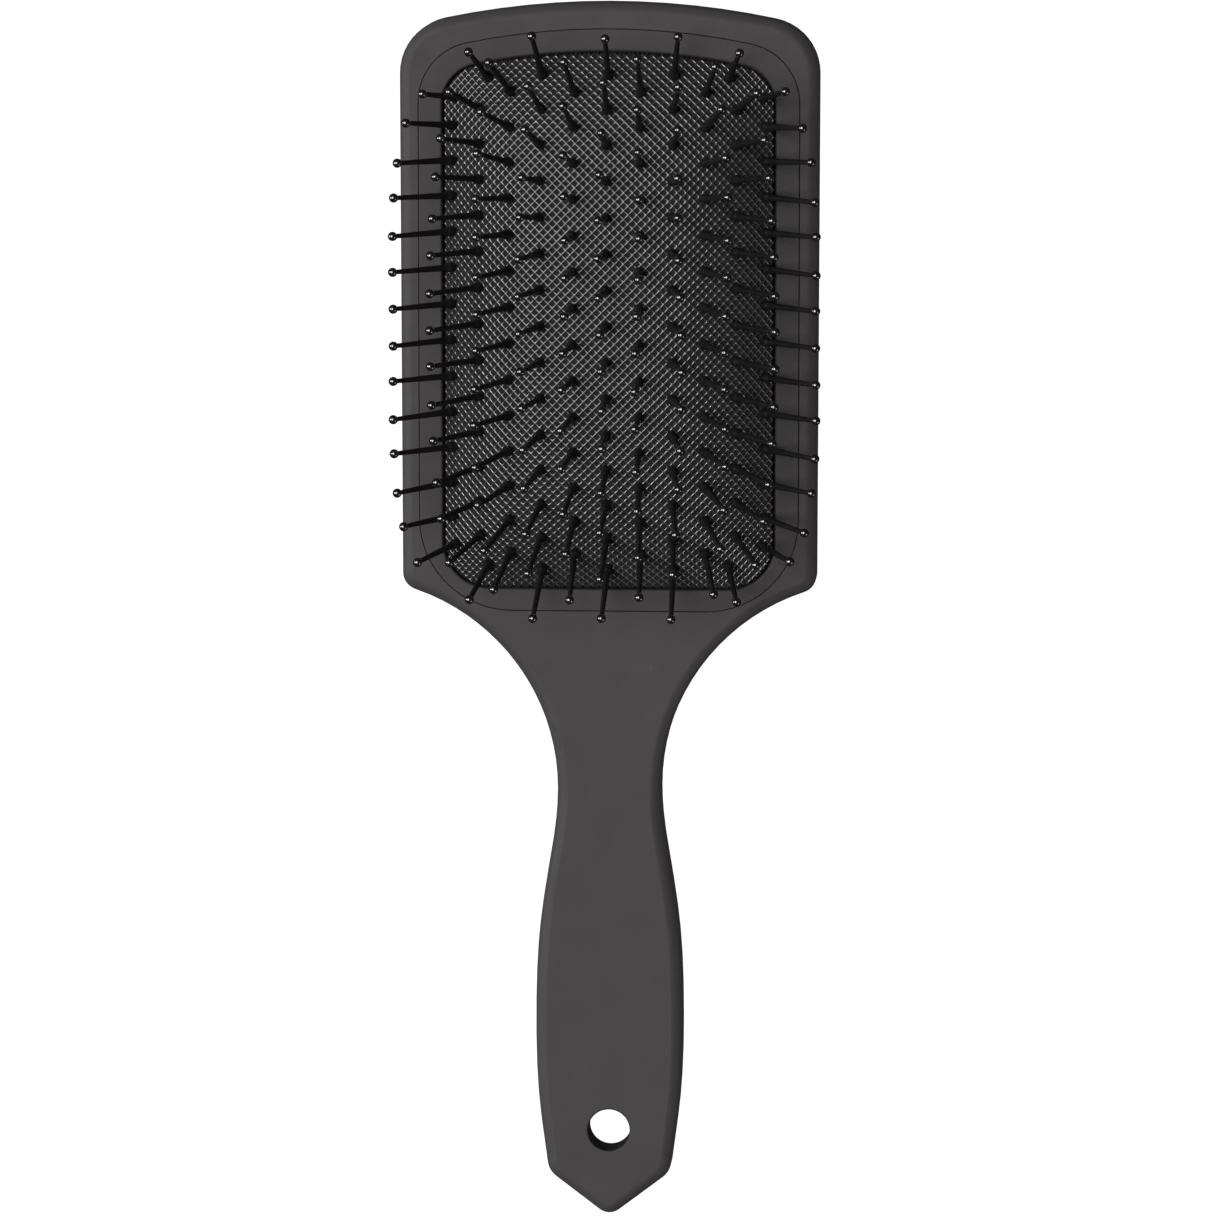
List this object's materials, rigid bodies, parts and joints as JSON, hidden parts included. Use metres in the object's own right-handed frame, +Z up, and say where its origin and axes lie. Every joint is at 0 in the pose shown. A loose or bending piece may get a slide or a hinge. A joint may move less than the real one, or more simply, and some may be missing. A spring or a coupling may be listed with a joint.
{
  "type": "paddle brush",
  "caption": "Flat paddle hair brush: domed rubber cushion clamped by a flush frame, splayed ball-tipped pins, waisted handle with a hang hole.",
  "frame": {"origin": "middle of the overall length and width, on the flat back", "axes": "+Z up through the pins from the flat back, +Y towards the head end, X across the head"},
  "size_m": [0.0856, 0.245, 0.0392],
  "materials": {
    "soft_touch_body": "soft-touch lacquer over moulded plastic, matte charcoal",
    "frame_plastic": "matte moulded plastic, charcoal",
    "cushion_rubber": "dark grey rubber with a raised crosshatch of ridges at 45 degrees",
    "pin_nylon": "glossy black nylon"
  },
  "bodies": {
    "paddle": {"paddle_body": "soft_touch_body", "cushion_frame": "frame_plastic"},
    "cushion": {"cushion_membrane": "cushion_rubber"},
    "column_01_handle_end": {"pins_column_01_handle_end": "pin_nylon"},
    "column_01_middle": {"pins_column_01_middle": "pin_nylon"},
    "column_01_head_end": {"pins_column_01_head_end": "pin_nylon"},
    "column_02_handle_end": {"pins_column_02_handle_end": "pin_nylon"},
    "column_02_middle": {"pins_column_02_middle": "pin_nylon"},
    "column_02_head_end": {"pins_column_02_head_end": "pin_nylon"},
    "column_03_handle_end": {"pins_column_03_handle_end": "pin_nylon"},
    "column_03_middle": {"pins_column_03_middle": "pin_nylon"},
    "column_03_head_end": {"pins_column_03_head_end": "pin_nylon"},
    "column_04_handle_end": {"pins_column_04_handle_end": "pin_nylon"},
    "column_04_middle": {"pins_column_04_middle": "pin_nylon"},
    "column_04_head_end": {"pins_column_04_head_end": "pin_nylon"},
    "column_05_handle_end": {"pins_column_05_handle_end": "pin_nylon"},
    "column_05_middle": {"pins_column_05_middle": "pin_nylon"},
    "column_05_head_end": {"pins_column_05_head_end": "pin_nylon"},
    "column_06_handle_end": {"pins_column_06_handle_end": "pin_nylon"},
    "column_06_middle": {"pins_column_06_middle": "pin_nylon"},
    "column_06_head_end": {"pins_column_06_head_end": "pin_nylon"},
    "column_07_handle_end": {"pins_column_07_handle_end": "pin_nylon"},
    "column_07_middle": {"pins_column_07_middle": "pin_nylon"},
    "column_07_head_end": {"pins_column_07_head_end": "pin_nylon"},
    "column_08_handle_end": {"pins_column_08_handle_end": "pin_nylon"},
    "column_08_middle": {"pins_column_08_middle": "pin_nylon"},
    "column_08_head_end": {"pins_column_08_head_end": "pin_nylon"},
    "column_09_handle_end": {"pins_column_09_handle_end": "pin_nylon"},
    "column_09_middle": {"pins_column_09_middle": "pin_nylon"},
    "column_09_head_end": {"pins_column_09_head_end": "pin_nylon"},
    "column_10_handle_end": {"pins_column_10_handle_end": "pin_nylon"},
    "column_10_middle": {"pins_column_10_middle": "pin_nylon"},
    "column_10_head_end": {"pins_column_10_head_end": "pin_nylon"},
    "column_11_handle_end": {"pins_column_11_handle_end": "pin_nylon"},
    "column_11_middle": {"pins_column_11_middle": "pin_nylon"},
    "column_11_head_end": {"pins_column_11_head_end": "pin_nylon"}
  },
  "joints": [
    {"name": "cushion_press", "type": "slide", "parent": "paddle", "child": "cushion", "axis": [0, 0, 1], "range_m": [-0.0018, 0], "stiffness_N_per_m": 6000, "deforming": ["cushion_membrane"]},
    {"name": "column_01_handle_end_rock", "type": "hinge", "parent": "cushion", "child": "column_01_handle_end", "pos_m": [-0.03045, 0.02054, 0.0113], "axis": [0, 0.9989, 0.0476], "range_deg": [-10, 10], "stiffness_Nm_per_rad": 0.078},
    {"name": "column_01_middle_rock", "type": "hinge", "parent": "cushion", "child": "column_01_middle", "pos_m": [-0.03053, 0.0591, 0.0119], "axis": [0, 1, 0], "range_deg": [-10, 10], "stiffness_Nm_per_rad": 0.208},
    {"name": "column_01_head_end_rock", "type": "hinge", "parent": "cushion", "child": "column_01_head_end", "pos_m": [-0.03048, 0.09765, 0.01108], "axis": [0, 0.9977, -0.0682], "range_deg": [-10, 10], "stiffness_Nm_per_rad": 0.078},
    {"name": "column_02_handle_end_rock", "type": "hinge", "parent": "cushion", "child": "column_02_handle_end", "pos_m": [-0.02479, 0.02039, 0.01369], "axis": [0, 0.9862, 0.1653], "range_deg": [-10, 10], "stiffness_Nm_per_rad": 0.104},
    {"name": "column_02_middle_rock", "type": "hinge", "parent": "cushion", "child": "column_02_middle", "pos_m": [-0.02502, 0.0591, 0.01572], "axis": [0, 1, 0], "range_deg": [-10, 10], "stiffness_Nm_per_rad": 0.182},
    {"name": "column_02_head_end_rock", "type": "hinge", "parent": "cushion", "child": "column_02_head_end", "pos_m": [-0.02479, 0.09779, 0.01331], "axis": [0, 0.9808, -0.1951], "range_deg": [-10, 10], "stiffness_Nm_per_rad": 0.104},
    {"name": "column_03_handle_end_rock", "type": "hinge", "parent": "cushion", "child": "column_03_handle_end", "pos_m": [-0.01921, 0.02026, 0.01549], "axis": [0, 0.9686, 0.2485], "range_deg": [-10, 10], "stiffness_Nm_per_rad": 0.078},
    {"name": "column_03_middle_rock", "type": "hinge", "parent": "cushion", "child": "column_03_middle", "pos_m": [-0.01915, 0.0591, 0.01823], "axis": [0, 1, 0], "range_deg": [-10, 10], "stiffness_Nm_per_rad": 0.208},
    {"name": "column_03_head_end_rock", "type": "hinge", "parent": "cushion", "child": "column_03_head_end", "pos_m": [-0.0192, 0.09792, 0.01521], "axis": [0, 0.9627, -0.2706], "range_deg": [-10, 10], "stiffness_Nm_per_rad": 0.078},
    {"name": "column_04_handle_end_rock", "type": "hinge", "parent": "cushion", "child": "column_04_handle_end", "pos_m": [-0.01301, 0.02034, 0.01622], "axis": [0, 0.9569, 0.2904], "range_deg": [-10, 10], "stiffness_Nm_per_rad": 0.104},
    {"name": "column_04_middle_rock", "type": "hinge", "parent": "cushion", "child": "column_04_middle", "pos_m": [-0.01297, 0.0591, 0.01976], "axis": [0, 1, 0], "range_deg": [-10, 10], "stiffness_Nm_per_rad": 0.182},
    {"name": "column_04_head_end_rock", "type": "hinge", "parent": "cushion", "child": "column_04_head_end", "pos_m": [-0.013, 0.09786, 0.01606], "axis": [0, 0.9533, -0.3021], "range_deg": [-10, 10], "stiffness_Nm_per_rad": 0.104},
    {"name": "column_05_handle_end_rock", "type": "hinge", "parent": "cushion", "child": "column_05_handle_end", "pos_m": [-0.00657, 0.0203, 0.01686], "axis": [0, 0.9537, 0.3009], "range_deg": [-10, 10], "stiffness_Nm_per_rad": 0.078},
    {"name": "column_05_middle_rock", "type": "hinge", "parent": "cushion", "child": "column_05_middle", "pos_m": [-0.00656, 0.0591, 0.02024], "axis": [0, 1, 0], "range_deg": [-10, 10], "stiffness_Nm_per_rad": 0.208},
    {"name": "column_05_head_end_rock", "type": "hinge", "parent": "cushion", "child": "column_05_head_end", "pos_m": [-0.00655, 0.0979, 0.01682], "axis": [0, 0.9525, -0.3044], "range_deg": [-10, 10], "stiffness_Nm_per_rad": 0.078},
    {"name": "column_06_handle_end_rock", "type": "hinge", "parent": "cushion", "child": "column_06_handle_end", "pos_m": [0.00001, 0.02035, 0.01665], "axis": [0, 0.9515, 0.3077], "range_deg": [-10, 10], "stiffness_Nm_per_rad": 0.104},
    {"name": "column_06_middle_rock", "type": "hinge", "parent": "cushion", "child": "column_06_middle", "pos_m": [0, 0.0591, 0.02041], "axis": [0, 1, 0], "range_deg": [-10, 10], "stiffness_Nm_per_rad": 0.182},
    {"name": "column_06_head_end_rock", "type": "hinge", "parent": "cushion", "child": "column_06_head_end", "pos_m": [-0.00001, 0.09785, 0.01665], "axis": [0, 0.9515, -0.3077], "range_deg": [-10, 10], "stiffness_Nm_per_rad": 0.104},
    {"name": "column_07_handle_end_rock", "type": "hinge", "parent": "cushion", "child": "column_07_handle_end", "pos_m": [0.00656, 0.0203, 0.01686], "axis": [0, 0.9535, 0.3014], "range_deg": [-10, 10], "stiffness_Nm_per_rad": 0.078},
    {"name": "column_07_middle_rock", "type": "hinge", "parent": "cushion", "child": "column_07_middle", "pos_m": [0.00656, 0.0591, 0.02024], "axis": [0, 1, 0], "range_deg": [-10, 10], "stiffness_Nm_per_rad": 0.208},
    {"name": "column_07_head_end_rock", "type": "hinge", "parent": "cushion", "child": "column_07_head_end", "pos_m": [0.00656, 0.0979, 0.01682], "axis": [0, 0.9527, -0.3039], "range_deg": [-10, 10], "stiffness_Nm_per_rad": 0.078},
    {"name": "column_08_handle_end_rock", "type": "hinge", "parent": "cushion", "child": "column_08_handle_end", "pos_m": [0.01302, 0.02034, 0.01622], "axis": [0, 0.9569, 0.2905], "range_deg": [-10, 10], "stiffness_Nm_per_rad": 0.104},
    {"name": "column_08_middle_rock", "type": "hinge", "parent": "cushion", "child": "column_08_middle", "pos_m": [0.01297, 0.0591, 0.01976], "axis": [0, 1, 0], "range_deg": [-10, 10], "stiffness_Nm_per_rad": 0.182},
    {"name": "column_08_head_end_rock", "type": "hinge", "parent": "cushion", "child": "column_08_head_end", "pos_m": [0.01299, 0.09786, 0.01606], "axis": [0, 0.9533, -0.302], "range_deg": [-10, 10], "stiffness_Nm_per_rad": 0.104},
    {"name": "column_09_handle_end_rock", "type": "hinge", "parent": "cushion", "child": "column_09_handle_end", "pos_m": [0.01921, 0.02026, 0.0155], "axis": [0, 0.9688, 0.2478], "range_deg": [-10, 10], "stiffness_Nm_per_rad": 0.078},
    {"name": "column_09_middle_rock", "type": "hinge", "parent": "cushion", "child": "column_09_middle", "pos_m": [0.01915, 0.0591, 0.01823], "axis": [0, 1, 0], "range_deg": [-10, 10], "stiffness_Nm_per_rad": 0.208},
    {"name": "column_09_head_end_rock", "type": "hinge", "parent": "cushion", "child": "column_09_head_end", "pos_m": [0.0192, 0.09793, 0.01521], "axis": [0, 0.9625, -0.2714], "range_deg": [-10, 10], "stiffness_Nm_per_rad": 0.078},
    {"name": "column_10_handle_end_rock", "type": "hinge", "parent": "cushion", "child": "column_10_handle_end", "pos_m": [0.02479, 0.02039, 0.01369], "axis": [0, 0.9862, 0.1655], "range_deg": [-10, 10], "stiffness_Nm_per_rad": 0.104},
    {"name": "column_10_middle_rock", "type": "hinge", "parent": "cushion", "child": "column_10_middle", "pos_m": [0.02502, 0.0591, 0.01572], "axis": [0, 1, 0], "range_deg": [-10, 10], "stiffness_Nm_per_rad": 0.182},
    {"name": "column_10_head_end_rock", "type": "hinge", "parent": "cushion", "child": "column_10_head_end", "pos_m": [0.02479, 0.09779, 0.01331], "axis": [0, 0.9808, -0.195], "range_deg": [-10, 10], "stiffness_Nm_per_rad": 0.104},
    {"name": "column_11_handle_end_rock", "type": "hinge", "parent": "cushion", "child": "column_11_handle_end", "pos_m": [0.03045, 0.02054, 0.0113], "axis": [0, 0.9989, 0.0478], "range_deg": [-10, 10], "stiffness_Nm_per_rad": 0.078},
    {"name": "column_11_middle_rock", "type": "hinge", "parent": "cushion", "child": "column_11_middle", "pos_m": [0.03053, 0.0591, 0.0119], "axis": [0, 1, 0], "range_deg": [-10, 10], "stiffness_Nm_per_rad": 0.208},
    {"name": "column_11_head_end_rock", "type": "hinge", "parent": "cushion", "child": "column_11_head_end", "pos_m": [0.03048, 0.09764, 0.01108], "axis": [0, 0.9977, -0.068], "range_deg": [-10, 10], "stiffness_Nm_per_rad": 0.078}
  ]
}
